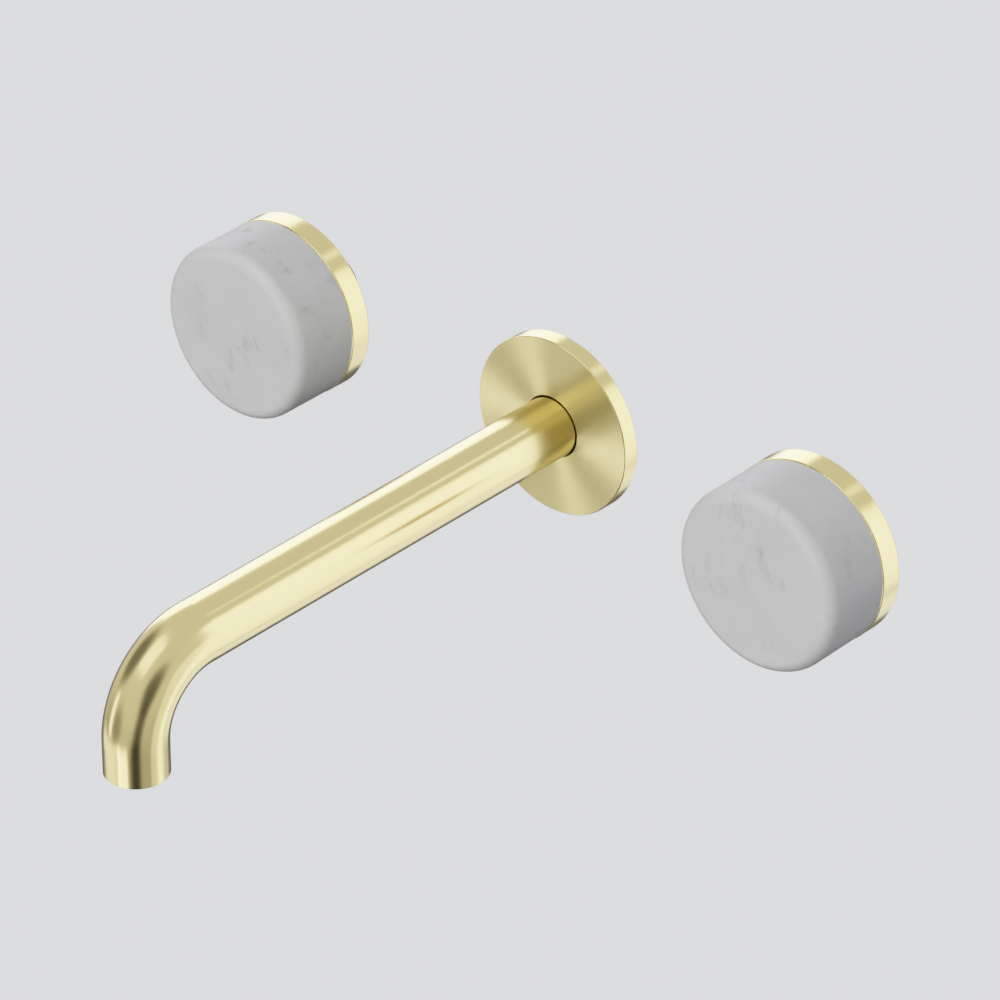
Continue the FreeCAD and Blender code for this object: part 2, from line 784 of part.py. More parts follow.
def handle_carrier(side, x):
    """The cup on the spindle that the handle slips over and its grub screw grips."""
    label = f"{side}_handle_carrier"
    skirt = "(carrier_radius - carrier_wall)"
    skirt_back = f"({WEB_BACK} + carrier_skirt_gap)"
    head_well = "(carrier_head_radius + carrier_head_gap)"
    seat_low = f"({GRUB_HEIGHT} - handle_grub_seat)"
    seat_high = f"({GRUB_HEIGHT} + handle_grub_seat)"
    body = turned(label, [
        (skirt, skirt_back),
        ("carrier_radius", skirt_back),
        ("carrier_radius", seat_low),
        ("carrier_radius - handle_grub_seat", GRUB_HEIGHT),
        ("carrier_radius", seat_high),
        ("carrier_radius", HUB_FRONT),
        (head_well, HUB_FRONT),
        (head_well, HUB_TOP),
        ("0", HUB_TOP),
        ("0", "spindle_shoulder_height"),
        (skirt, "spindle_shoulder_height"),
    ])
    teeth = polygon_corners(4, "spline_radius + spline_gap")
    square = add_pocket(body, f"{label}_spline", HUB_TOP, "carrier_hub", teeth)
    add_polar(body, f"{label}_splines", square, SPLINE_SQUARES, 360 / 4 * (1 - 1 / SPLINE_SQUARES))
    stand(body, x)
    return keep(body, label)


def carrier_screw(side, x):
    """The flanged button screw that holds the carrier on the spindle."""
    label = f"{side}_carrier_screw"
    shank = "(carrier_screw_radius - thread_gap)"
    head_top = f"({HUB_TOP} + carrier_head_depth)"
    body = turned(label, [
        ("0", f"{HUB_TOP} - carrier_screw_length"),
        (shank, f"{HUB_TOP} - carrier_screw_length"),
        (shank, HUB_TOP),
        ("carrier_head_radius", HUB_TOP),
        ("carrier_head_radius", f"{HUB_TOP} + carrier_head_depth / 4"),
        ("carrier_head_radius * 0.8", f"{HUB_TOP} + carrier_head_depth / 4"),
        ("carrier_head_radius * 0.6", head_top),
        ("0", head_top),
    ])
    add_pocket(body, f"{label}_key", head_top, "carrier_key_depth", hexagon_corners("carrier_key"))
    stand(body, x)
    return keep(body, label)


def spindle(side, x, lug_centre):
    """The spindle: a drive tongue and stop lug inside, ring grooves, a clip groove and the spline."""
    label = f"{side}_spindle"
    floor = f"({SPINDLE_BORE} - {SPINDLE_RING_RECESS})"
    half_groove = f"({SPINDLE_RING_RECESS} / 2)"
    profile = [
        ("0", SPINDLE_FLANGE_BACK),
        ("spindle_flange_radius", SPINDLE_FLANGE_BACK),
        ("spindle_flange_radius", SPINDLE_FLANGE_TOP),
        ("spindle_radius", SPINDLE_FLANGE_TOP),
    ]
    for height in ("spindle_ring_rear", "spindle_ring_front"):
        profile += [
            ("spindle_radius", f"{height} - {half_groove}"),
            (floor, f"{height} - {half_groove}"),
            (floor, f"{height} + {half_groove}"),
            ("spindle_radius", f"{height} + {half_groove}"),
        ]
    clip_floor = "(spindle_radius - clip_groove_depth)"
    clip_top = f"({GLAND_TOP} + clip_thickness + 2 * clip_gap)"
    profile += [
        ("spindle_radius", GLAND_TOP),
        (clip_floor, GLAND_TOP),
        (clip_floor, clip_top),
        ("spindle_radius", clip_top),
        ("spindle_radius", "spindle_shoulder_height"),
        ("0", "spindle_shoulder_height"),
    ]
    body = turned(f"{label}_turned", profile)
    teeth = polygon_corners(4, "spline_radius")
    square = add_pad(body, f"{label}_spline", teeth, "spindle_shoulder_height", "spline_depth")
    add_polar(body, f"{label}_splines", square, SPLINE_SQUARES, 360 / 4 * (1 - 1 / SPLINE_SQUARES))
    tongue = rectangle_corners("tongue_width", "tongue_length")
    add_pad(body, f"{label}_tongue", tongue, f"{SPINDLE_FLANGE_BACK} - tongue_depth", "tongue_depth")
    tapped = ("carrier_screw_radius", "0", "0")
    tapped_depth = f"spline_depth + carrier_screw_length - carrier_hub + {CUT_PAST}"
    spline_end = "(spindle_shoulder_height + spline_depth)"
    add_pocket(body, f"{label}_tapped_hole", spline_end, tapped_depth, circles=[tapped])

    lug_start = f"{lug_centre} - lug_angle / 2"
    lug = ring_slice(
        f"{label}_lug", "spindle_radius", "lug_radius", "spindle_flange_depth",
        SPINDLE_FLANGE_BACK, "lug_angle", lug_start,
    )
    item = boolean("Fuse", label, body, lug)
    stand(item, x)
    return keep(item, label)


def spindle_clip(side, x):
    """The open clip that keeps the spindle in the headwork."""
    label = f"{side}_spindle_clip"
    low = f"({GLAND_TOP} + clip_gap)"
    inner = "(spindle_radius - clip_groove_depth + clip_gap)"
    body = turned(label, [
        (inner, low),
        ("clip_radius", low),
        ("clip_radius", f"{low} + clip_thickness"),
        (inner, f"{low} + clip_thickness"),
    ])
    mouth = [
        ("clip_opening / 2", "0"),
        ("clip_opening / 2", f"clip_radius + {CUT_PAST}"),
        ("-clip_opening / 2", f"clip_radius + {CUT_PAST}"),
        ("-clip_opening / 2", "0"),
    ]
    add_pocket(body, f"{label}_mouth", f"{low} + clip_thickness", "clip_thickness", mouth)
    stand(body, x)
    return keep(body, label)


def headwork(side, x):
    """The body of the valve: pipe thread, shoulder, plate thread, key hexagon, gland and nose."""
    label = f"{side}_headwork"
    body = turned(f"{label}_turned", [
        ("chamber_radius", HEADWORK_END),
        ("nose_radius", HEADWORK_END),
        ("nose_radius", THREAD_END),
        ("pipe_radius", THREAD_END),
        ("pipe_radius", THREAD_TOP),
        ("pipe_relief_radius", THREAD_TOP),
        ("pipe_relief_radius", SHOULDER_SEAT),
        ("headwork_shoulder_radius", SHOULDER_SEAT),
        ("headwork_shoulder_radius", SHOULDER_FACE),
        ("headwork_top_radius", SHOULDER_FACE),
        ("headwork_top_radius", "headwork_top_height"),
        ("gland_radius", "headwork_top_height"),
        ("gland_radius", GLAND_TOP),
        (SPINDLE_BORE, GLAND_TOP),
        (SPINDLE_BORE, CHAMBER_TOP),
        ("chamber_radius", CHAMBER_TOP),
    ])
    hexagon = hexagon_corners("headwork_flats")
    add_pad(body, f"{label}_hexagon", hexagon, "headwork_top_height", "headwork_hex_depth", SPINDLE_BORE)
    half_tab = "((tab_width + 2 * slot_gap) / 2)"
    tab_top = f"({FIXED_DISC_TOP} + slot_gap)"
    slot = [
        (half_tab, f"{HEADWORK_END} - {CUT_PAST}"),
        (half_tab, tab_top),
        (f"-{half_tab}", tab_top),
        (f"-{half_tab}", f"{HEADWORK_END} - {CUT_PAST}"),
    ]
    add_side_cut(body, f"{label}_disc_slots", f"nose_radius + {CUT_PAST}", slot, both_ways=True)
    port_top = f"({THREAD_END} - port_inset)"
    port = [
        ("port_width / 2", f"{port_top} - port_depth"),
        ("port_width / 2", port_top),
        ("-port_width / 2", port_top),
        ("-port_width / 2", f"{port_top} - port_depth"),
    ]
    add_side_cut(body, f"{label}_ports", f"nose_radius + {CUT_PAST}", port, both_ways=True)

    free_angle = "(turn_angle + lug_angle + 2 * stop_margin_angle)"
    stop_start = "lug_rest_angle + turn_angle + lug_angle / 2 + stop_margin_angle"
    stop = ring_slice(
        f"{label}_stop", "stop_inner_radius", "(chamber_radius + nose_radius) / 2",
        "spindle_flange_depth", SPINDLE_FLANGE_BACK, f"360 - {free_angle}", stop_start,
    )
    item = boolean("Fuse", label, body, stop)
    stand(item, x)
    return keep(item, label)


def windowed_disc(name, radius, depth, start, first_angle):
    """A ceramic disc with two opposite windows."""
    item = cylinder(f"{name}_blank", radius, depth, start)
    for index in range(OUTLET_PORTS):
        middle = first_angle + 180 * index
        window = ring_slice(
            f"{name}_window_{index + 1}", "window_core", "window_radius", depth,
            start, "window_angle", f"{middle} - window_angle / 2",
        )
        item = boolean("Cut", f"{name}_cut_{index + 1}", item, window)
    return item


def box(name, width, length, depth, start):
    """A block about the axis, from a height."""
    item = document.addObject("Part::Box", name)
    bind(item, "Length", width)
    bind(item, "Width", length)
    bind(item, "Height", depth)
    bind(item, "Placement.Base.x", f"-({width}) / 2")
    bind(item, "Placement.Base.y", f"-({length}) / 2")
    bind(item, "Placement.Base.z", start)
    return item


def fixed_disc(side, x):
    """The fixed disc, with two tabs that sit in the headwork's slots."""
    label = f"{side}_fixed_disc"
    depth = "fixed_disc_depth"
    blank = windowed_disc(f"{label}_open", "disc_radius", depth, FIXED_DISC_BACK, 0)
    bar = box(f"{label}_tab_bar", "tab_width", "2 * tab_reach", depth, FIXED_DISC_BACK)
    middle = cylinder(f"{label}_tab_middle", "(window_radius + disc_radius) / 2", depth, FIXED_DISC_BACK)
    tabs = boolean("Cut", f"{label}_tabs", bar, middle)
    disc = boolean("Fuse", label, blank, tabs)
    stand(disc, x)
    return keep(disc, label)


def moving_disc(side, x):
    """The moving disc, slotted across for the spindle's tongue."""
    label = f"{side}_moving_disc"
    blank = windowed_disc(f"{label}_open", "moving_disc_radius", "moving_disc_depth", MOVING_DISC_BACK, 90)
    slot = box(
        f"{label}_slot", "tongue_width + 2 * slot_gap", "tongue_length + 2 * slot_gap",
        "tongue_depth", f"{MOVING_DISC_TOP} - tongue_depth",
    )
    disc = boolean("Cut", label, blank, slot)
    stand(disc, x)
    return keep(disc, label)


def washer(label, inner, outer, low, high, x):
    """A flat ring between two heights."""
    body = turned(label, [(inner, low), (outer, low), (outer, high), (inner, high)])
    stand(body, x)
    return keep(body, label)


def escutcheon(side, x):
    """The plate against the wall, its gasket and the nut that clamps it on the headwork."""
    label = f"{side}_wall_plate"
    bore = "(headwork_top_radius + plate_bore_gap)"
    well = "(nut_flats / 2 / cos(30 deg) + nut_gap)"
    groove_outer = "(plate_radius - plate_gasket_inset)"
    groove_inner = f"({groove_outer} - plate_gasket_width)"
    body = turned(label, [
        (bore, "0"),
        (groove_inner, "0"),
        (groove_inner, "plate_gasket_depth"),
        (groove_outer, "plate_gasket_depth"),
        (groove_outer, "0"),
        ("plate_radius", "0"),
        ("plate_radius", "plate_depth"),
        (well, "plate_depth"),
        (well, "plate_floor"),
        (bore, "plate_floor"),
    ])
    stand(body, x)
    keep(body, label)
    washer(
        f"{side}_wall_gasket", f"{groove_inner} + gasket_gap", f"{groove_outer} - gasket_gap",
        "0", "plate_gasket_depth", x,
    )
    nut = new_body(f"{side}_plate_nut")
    add_pad(
        nut, f"{side}_plate_nut_hexagon", hexagon_corners("nut_flats"), "plate_floor",
        "plate_depth - plate_floor", "headwork_top_radius + thread_gap",
    )
    stand(nut, x)
    keep(nut, f"{side}_plate_nut")


def tap(side, x, lug_centre):
    """One tap: the handle and what turns with it, then what stays in the wall."""
    marble_knob(side, x)
    handle_base(side, x)
    tip = "(carrier_radius - handle_grub_seat + 2 * grub_gap)"
    grub_screw(
        f"{side}_handle_grub_screw", "handle_grub_radius", "handle_grub_length",
        "handle_grub_key", x, GRUB_HEIGHT, f"{tip} + handle_grub_length",
    )
    handle_carrier(side, x)
    carrier_screw(side, x)
    spindle(side, x, lug_centre)
    spindle_clip(side, x)
    floor = f"({SPINDLE_BORE} - {SPINDLE_RING_RECESS})"
    for name in ("rear", "front"):
        torus(
            f"{side}_spindle_ring_{name}", f"{floor} + {SPINDLE_RING_RECESS} / 2",
            "spindle_ring_section", x, f"spindle_ring_{name}",
        )
    moving_disc(side, x)
    fixed_disc(side, x)
    headwork(side, x)
    torus(
        f"{side}_headwork_ring", "pipe_relief_radius + ring_gap + head_ring_section",
        "head_ring_section", x, f"({SHOULDER_SEAT} + {THREAD_TOP}) / 2",
    )
    thrust_top = f"({CHAMBER_TOP} - stack_gap)"
    washer(
        f"{side}_thrust_washer", SPINDLE_BORE, "disc_radius",
        f"{thrust_top} - thrust_depth", thrust_top, x,
    )
    washer(
        f"{side}_seat_seal", "seat_seal_inner", "chamber_radius - seat_seal_gap",
        f"{HEADWORK_END} - seat_seal_proud", f"{FIXED_DISC_BACK} - stack_gap", x,
    )
    escutcheon(side, x)


# ---------------------------------------------------------------- build, check and write

spout_tube()
spout_socket()
spout_nipple()
nipple_seals()
grub_tip = "(spigot_radius - grub_seat_depth + 2 * grub_gap)"
grub_screw(
    "spout_grub_screw", "spout_grub_radius", "spout_grub_length", "spout_grub_key",
    "0", "spout_grub_height", f"{grub_tip} + spout_grub_length",
)
spout_cover()
outlet()
tap("hot", "-hot_offset", "lug_rest_angle")
tap("cold", "cold_offset", "180 - lug_rest_angle")
document.recompute()

for item in document.Objects:
    assert not {"Invalid", "Error"} & set(item.State), f"{item.Name} is {item.State}"
for item in subparts:
    assert not item.Shape.isNull(), f"{item.Label} has no shape"
    assert item.Shape.isValid(), f"{item.Label} has a bad shape"

os.makedirs("parts", exist_ok=True)
for item in subparts:
    item.Shape.exportStep(os.path.join("parts", f"{item.Label}.step"))
print(len(subparts), "sub-parts written")
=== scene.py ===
import json
import math

import bmesh
import bpy
from mathutils import Matrix, Vector


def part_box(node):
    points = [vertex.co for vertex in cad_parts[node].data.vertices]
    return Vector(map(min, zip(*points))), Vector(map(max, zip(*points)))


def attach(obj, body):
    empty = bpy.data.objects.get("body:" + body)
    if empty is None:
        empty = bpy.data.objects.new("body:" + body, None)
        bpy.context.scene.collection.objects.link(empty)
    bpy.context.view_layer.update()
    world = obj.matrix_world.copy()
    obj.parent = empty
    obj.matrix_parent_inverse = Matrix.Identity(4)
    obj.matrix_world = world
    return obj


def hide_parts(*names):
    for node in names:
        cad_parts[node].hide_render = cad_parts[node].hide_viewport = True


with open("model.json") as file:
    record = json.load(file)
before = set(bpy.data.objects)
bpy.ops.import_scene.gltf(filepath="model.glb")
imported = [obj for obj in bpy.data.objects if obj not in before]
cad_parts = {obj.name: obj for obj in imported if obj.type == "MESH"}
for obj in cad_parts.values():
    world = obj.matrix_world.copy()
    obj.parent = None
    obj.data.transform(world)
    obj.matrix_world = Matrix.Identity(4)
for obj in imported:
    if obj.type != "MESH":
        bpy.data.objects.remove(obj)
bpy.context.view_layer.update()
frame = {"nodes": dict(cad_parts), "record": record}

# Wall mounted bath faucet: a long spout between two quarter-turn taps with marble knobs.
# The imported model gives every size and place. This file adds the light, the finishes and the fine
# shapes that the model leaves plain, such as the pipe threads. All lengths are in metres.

NODES = frame["nodes"]
MM = 0.001


# ---------------------------------------------------------------- helpers
def from_hex(text):
    """The linear colour of an sRGB hex value such as "#C8BE8A"."""
    values = [int(text[i:i + 2], 16) / 255 for i in (1, 3, 5)]
    linear = [v / 12.92 if v <= 0.04045 else ((v + 0.055) / 1.055) ** 2.4 for v in values]
    return (*linear, 1.0)


def add_node(tree, kind, inputs=None, **settings):
    """Adds a node. inputs gives each socket, by name or number, a value or another node's socket."""
    node = tree.nodes.new(kind)
    for name, value in settings.items():
        setattr(node, name, value)
    for socket, value in (inputs or {}).items():
        if isinstance(value, bpy.types.NodeSocket):
            tree.links.new(value, node.inputs[socket])
        else:
            node.inputs[socket].default_value = value
    return node


def direction(azimuth, elevation):
    """The unit vector towards an azimuth, 0 in front of the wall and 90 to its right, and an elevation."""
    a, e = math.radians(azimuth), math.radians(elevation)
    return Vector((math.sin(a) * math.cos(e), -math.cos(a) * math.cos(e), math.sin(e)))


def link(thing):
    """Puts an object into the scene and gives it back."""
    bpy.context.scene.collection.objects.link(thing)
    return thing


# ---------------------------------------------------------------- places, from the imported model
def middle(node):
    """The centre of a node's box."""
    low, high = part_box(node)
    return (low + high) / 2


def girth(node):
    """The outer radius of a round node that stands out of the wall."""
    low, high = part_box(node)
    return (high.x - low.x) / 2


HOT_AXIS = middle("hot_marble_knob").x
COLD_AXIS = middle("cold_marble_knob").x
TUBE_LOW, TUBE_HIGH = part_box("spout_tube")
TUBE_RADIUS = TUBE_HIGH.x
BEND_RADIUS = 25 * MM    # along the tube's centre line
OUTLET_AXIS = TUBE_LOW.y + TUBE_RADIUS
BEND_CENTRE_Y = OUTLET_AXIS + BEND_RADIUS
BEND_CENTRE_Z = -BEND_RADIUS


# ---------------------------------------------------------------- camera
VIEW_AZIMUTH = 41.819
VIEW_ELEVATION = 32.061
VIEW_ROLL = 0.32
VIEW_DISTANCE = 1.7176
VIEW_AIM = Vector((-0.02617, 0, -0.04049))
LENS_MM = 195.75
SENSOR_MM = 36


def make_camera():
    """The long-lens camera, above and to the right, turned by its small roll."""
    camera = link(bpy.data.objects.new("camera", bpy.data.cameras.new("camera")))
    camera.data.lens = LENS_MM
    camera.data.sensor_width = SENSOR_MM
    back = direction(VIEW_AZIMUTH, VIEW_ELEVATION)
    upright = (-back).to_track_quat("-Z", "Y").to_matrix().to_4x4()
    roll = Matrix.Rotation(math.radians(VIEW_ROLL), 4, "Z")
    camera.matrix_world = Matrix.Translation(VIEW_AIM + back * VIEW_DISTANCE) @ upright @ roll
    bpy.context.scene.camera = camera


make_camera()


# ---------------------------------------------------------------- floor and light
FLOOR_HEIGHT = -3.0
FLOOR_SIZE = 60
FLOOR_PAINT = "#E9EBEE"
FLOOR_GLOW = 0.85
# Soft panels round the object, all at one distance and slightly cool in colour, seen only in the metal
# and gloss: name, azimuth, elevation, width and height in degrees, brightness.
SOFTBOX_DISTANCE = 2.6
DAYLIGHT = "#F4F6FF"
SOFTBOXES = [
    ("softbox_right", 131, -4, 26, 84, 1.9),
    ("softbox_right_soft", 106, -18, 26, 44, 0.8),
    ("softbox_right_low", 164, -50, 26, 22, 1.5),
    ("softbox_back_strip", 160, 48, 6, 7, 2.0),
    ("softbox_left", -124, 12, 34, 44, 3.0),
    ("softbox_overhead", -12, 60, 36, 36, 1.3),
    ("softbox_front", -2, -34, 26, 16, 2.6),
    ("softbox_front_low", -44, -32, 60, 13, 1.4),
    ("softbox_front_upright", -46, -6, 11, 30, 1.9),
    ("softbox_front_under", -52, -56, 16, 22, 2.0),
]
# One large panel lights the matt surfaces, from in front and a little to the right.
KEY_PANEL = ("key_panel", 7, 20, 50, 50, 3.35)
# The studio's own glow, from straight below, through level, to straight above: in gloss, and on matt.
GLOW_IN_GLOSS = [(0.0, 0.3), (0.15, 0.5), (0.4, 0.85), (0.5, 0.98), (1.0, 1.0)]
GLOW_ON_MATT = [(0.0, 0.0), (0.3, 0.04), (0.5, 0.15), (0.75, 0.42), (1.0, 0.66)]
# Dark cloths that show in gloss: azimuth, elevation, half width in degrees, share of the glow taken.
DARK_CLOTHS = [(57, 19, 19, 0.86), (49, -4, 11, 0.75), (44, -20, 10, 0.7), (42, -34, 12, 0.92),
               (-70, 32, 21, 0.8), (-64, -15, 12, 0.3), (-25, -8, 14, 0.6), (-19, -52, 15, 0.9),
               (-135, -38, 36, 0.7)]
# How far a cloth's soft edge reaches to either side of its outline, in degrees.
CLOTH_EDGE = 9
# The pale paper behind the floor's far edge, which is as light as the floor looks.
BACKDROP = "#F4F6FA"
BACKDROP_LEVEL = 1.345
# The camera answers as film does: 1 - exp(-light), up to this much light. The steps are shares of it.
FILM_WHITE = 5.0
FILM_STEPS = (0.0, 0.03, 0.08, 0.15, 0.25, 0.4, 0.6, 0.8, 1.0)
ALL_COLOURS = 3    # the curve of the camera's answer that holds for red, green and blue together


def make_floor(finish):
    """A wide floor far below. It doesn't colour the object, neither by reflection nor by bounced light."""
    side = FLOOR_SIZE / 2
    corners = [(-side, -side), (side, -side), (side, side), (-side, side)]
    mesh = bpy.data.meshes.new("floor")
    mesh.from_pydata([(x, y, FLOOR_HEIGHT) for x, y in corners], [], [(0, 1, 2, 3)])
    mesh.materials.append(finish)
    floor = link(bpy.data.objects.new("floor", mesh))
    floor.visible_glossy = False
    floor.visible_diffuse = False


def make_panel(name, azimuth, elevation, wide, high, brightness):
    """A soft panel that faces the object. Its power follows its size, so brightness is what shows."""
    light = bpy.data.lights.new(name, "AREA")
    light.shape = "RECTANGLE"
    light.size = 2 * SOFTBOX_DISTANCE * math.tan(math.radians(wide / 2))
    light.size_y = 2 * SOFTBOX_DISTANCE * math.tan(math.radians(high / 2))
    light.energy = math.pi * light.size * light.size_y * brightness
    panel = link(bpy.data.objects.new(name, light))
    panel.visible_camera = False
    towards = direction(azimuth, elevation)
    turn = towards.to_track_quat("Z", "Y").to_matrix().to_4x4()
    panel.matrix_world = Matrix.Translation(towards * SOFTBOX_DISTANCE) @ turn
    return panel


def glow_curve(tree, height, steps):
    """The glow at a height, 0 straight below to 1 straight above, along a smooth curve through steps."""
    node = add_node(tree, "ShaderNodeFloatCurve", {"Value": height})
    curve = node.mapping.curves[0]
    for x, y in steps[1:-1]:
        curve.points.new(x, y)
    curve.points[0].location = steps[0]
    curve.points[len(steps) - 1].location = steps[-1]
    node.mapping.use_clip = False
    node.mapping.update()
    return node.outputs["Value"]


def make_studio():
    """The room: a glow that differs for gloss, for matt surfaces and for the backdrop, and the cloths."""
    world = bpy.data.worlds.new("studio")
    world.use_nodes = True
    tree = world.node_tree
    tree.nodes.clear()
    ray = add_node(tree, "ShaderNodeTexCoord")
    axes = add_node(tree, "ShaderNodeSeparateXYZ", {"Vector": ray.outputs["Generated"]})
    height = add_node(tree, "ShaderNodeMapRange", {"Value": axes.outputs["Z"], "From Min": -1.0})
    level = glow_curve(tree, height.outputs["Result"], GLOW_IN_GLOSS)
    for azimuth, elevation, half, share in DARK_CLOTHS:
        near = add_node(tree, "ShaderNodeVectorMath", {0: ray.outputs["Generated"],
                                                       1: direction(azimuth, elevation)},
                        operation="DOT_PRODUCT")
        left = add_node(tree, "ShaderNodeMapRange", {
            "Value": near.outputs["Value"], "From Min": math.cos(math.radians(half + CLOTH_EDGE)),
            "From Max": math.cos(math.radians(half - CLOTH_EDGE)), "To Min": 1.0,
            "To Max": 1 - share}, interpolation_type="SMOOTHSTEP")
        dimmed = add_node(tree, "ShaderNodeMath", {0: level, 1: left.outputs["Result"]},
                          operation="MULTIPLY")
        level = dimmed.outputs[0]
    matt = glow_curve(tree, height.outputs["Result"], GLOW_ON_MATT)
    kind = add_node(tree, "ShaderNodeLightPath")
    either = add_node(tree, "ShaderNodeMix", {"Factor": kind.outputs["Is Diffuse Ray"], "A": level,
                                              "B": matt}, data_type="FLOAT")
    seen = add_node(tree, "ShaderNodeMix", {"Factor": kind.outputs["Is Camera Ray"],
                                            "A": either.outputs["Result"], "B": BACKDROP_LEVEL},
                    data_type="FLOAT")
    tint = add_node(tree, "ShaderNodeMix", {"Factor": kind.outputs["Is Camera Ray"],
                                            "A": (1, 1, 1, 1), "B": from_hex(BACKDROP)},
                    data_type="RGBA")
    sky = add_node(tree, "ShaderNodeBackground", {"Color": tint.outputs["Result"],
                                                  "Strength": seen.outputs["Result"]})
    add_node(tree, "ShaderNodeOutputWorld", {"Surface": sky.outputs["Background"]})
    bpy.context.scene.world = world


def set_film():
    """Lets bright metal roll off softly, as film does."""
    view = bpy.context.scene.view_settings
    view.view_transform = "Standard"
    view.use_curve_mapping = True
    mapping = view.curve_mapping
    mapping.white_level = (FILM_WHITE,) * 3
    curve = mapping.curves[ALL_COLOURS]
    for step in FILM_STEPS[1:-1]:
        curve.points.new(step, 1 - math.exp(-step * FILM_WHITE))
    curve.points[0].location = (0, 0)
    curve.points[len(FILM_STEPS) - 1].location = (1, 1 - math.exp(-FILM_WHITE))
    mapping.update()


# ---------------------------------------------------------------- finishes
# What the satin brass is wherever it shows: a light gold coating on brass, rubbed with fine abrasive.
SATIN_BRASS = "#EDDB97"
SATIN_LINE = 0.45 * MM
# Nearly all of a noise pattern lies between these values.
NOISE_LOW = 0.3
NOISE_HIGH = 0.7
# The marble: the sizes of its smudges across and along the grain, of its clouds, and of the patches that
# hold smudges at all.
SMUDGE_SIZE = (5 * MM, 7 * MM, 10 * MM)
CLOUD_SIZE = 16 * MM
PATCH_SIZE = 21 * MM
# The values of the patterns at which smudges and patches begin and are full, and how wide a crack is.
SMUDGE_BEGINS = 0.52
SMUDGE_FULL = 0.80
PATCH_BEGINS = 0.44
PATCH_FULL = 0.64
CRACK_WIDTH = 0.022
MARBLE_WHITE = "#F3F4F4"
MARBLE_CLOUD = "#D9DADB"
MARBLE_SMUDGE = "#A1A4A5"


def new_material(name):
    """An empty material and its node tree."""
    material = bpy.data.materials.new(name)
    material.use_nodes = True
    material.node_tree.nodes.clear()
    return material, material.node_tree


def dress(tree, inputs):
    """Ends a material: its surface shader, with these inputs, into its output."""
    shader = add_node(tree, "ShaderNodeBsdfPrincipled", inputs)
    add_node(tree, "ShaderNodeOutputMaterial", {"Surface": shader.outputs["BSDF"]})


def painted_floor():
    """Matt emulsion on a smooth floor: pale, and lit evenly by a little glow of its own."""
    material, tree = new_material("painted_floor")
    dress(tree, {"Base Color": from_hex(FLOOR_PAINT), "Roughness": 0.9,
                 "Emission Color": from_hex(BACKDROP), "Emission Strength": FLOOR_GLOW})
    return material


def rubbed_lines(tree, across, along):
    """Fine abrasive lines: a value that changes quickly across them and slowly along them."""
    place = add_node(tree, "ShaderNodeCombineXYZ", {"X": across, "Y": along})
    return add_node(tree, "ShaderNodeTexNoise", {"Vector": place.outputs["Vector"], "Scale": 1.0,
                                                 "Detail": 3.0, "Roughness": 0.6})


def turned_lines(tree, centre, axis, spacing):
    """The rings that a lathe leaves round an axis, "Y" out of the wall or "Z" upright."""
    where = add_node(tree, "ShaderNodeTexCoord")
    moved = add_node(tree, "ShaderNodeVectorMath", {0: where.outputs["Object"], 1: centre},
                     operation="SUBTRACT")
    axes = add_node(tree, "ShaderNodeSeparateXYZ", {"Vector": moved.outputs["Vector"]})
    side = "Z" if axis == "Y" else "Y"
    flat = add_node(tree, "ShaderNodeCombineXYZ", {"X": axes.outputs["X"], "Y": axes.outputs[side]})
    radius = add_node(tree, "ShaderNodeVectorMath", {0: flat.outputs["Vector"]}, operation="LENGTH")
    across = add_node(tree, "ShaderNodeMath", {0: radius.outputs["Value"], 1: axes.outputs[axis]},
                      operation="SUBTRACT")
    fine = add_node(tree, "ShaderNodeMath", {0: across.outputs[0], 1: spacing}, operation="DIVIDE")
    angle = add_node(tree, "ShaderNodeMath", {0: axes.outputs[side], 1: axes.outputs["X"]},
                     operation="ARCTAN2")
    return rubbed_lines(tree, fine.outputs[0], angle.outputs[0])


def turned_metal(name, colour, centre, axis, spacing, roughness, spread, depth, anisotropy):
    """Metal turned or rubbed round on a lathe, so that its highlights fan out from the axis. spread is how
    far the roughness varies to either side, and depth how deep the lines are."""
    material, tree = new_material(name)
    lines = turned_lines(tree, centre, axis, spacing)
    rough = add_node(tree, "ShaderNodeMapRange", {
        "Value": lines.outputs["Fac"], "From Min": NOISE_LOW, "From Max": NOISE_HIGH,
        "To Min": roughness - spread, "To Max": roughness + spread})
    bump = add_node(tree, "ShaderNodeBump", {"Strength": 0.3, "Distance": depth,
                                             "Height": lines.outputs["Fac"]})
    round_it = add_node(tree, "ShaderNodeTangent", direction_type="RADIAL", axis=axis)
    dress(tree, {"Base Color": from_hex(colour), "Metallic": 1.0, "Roughness": rough.outputs["Result"],
                 "Anisotropic": anisotropy, "Anisotropic Rotation": 0.25,
                 "Tangent": round_it.outputs["Tangent"], "Normal": bump.outputs["Normal"]})
    return material


def satin_brass_face(name, centre):
    """Satin brass faced on the lathe: rings of fine scratches throw bright and dark fans of light."""
    return turned_metal(name, SATIN_BRASS, centre, "Y", SATIN_LINE, roughness=0.355, spread=0.04,
                        depth=0.02 * MM, anisotropy=1.0)


def satin_brass_edge(name, centre):
    """Satin brass rim, polished a little finer than the face, so that reflections stay as bands."""
    return turned_metal(name, SATIN_BRASS, centre, "Y", SATIN_LINE, roughness=0.21, spread=0.03,
                        depth=0.015 * MM, anisotropy=0.35)


def bare_brass(name, centre, axis):
    """Free-cutting brass, turned and left bare: deeper yellow, with coarser tool rings."""
    return turned_metal(name, "#D2B15E", centre, axis, spacing=0.6 * MM, roughness=0.30, spread=0.07,
                        depth=0.05 * MM, anisotropy=0.5)


def stainless_steel(name, centre, axis):
    """A2 stainless steel, rolled and tumbled: cool grey with a dull sheen."""
    return turned_metal(name, "#BFBFBB", centre, axis, spacing=0.5 * MM, roughness=0.34, spread=0.07,
                        depth=0.03 * MM, anisotropy=0.2)


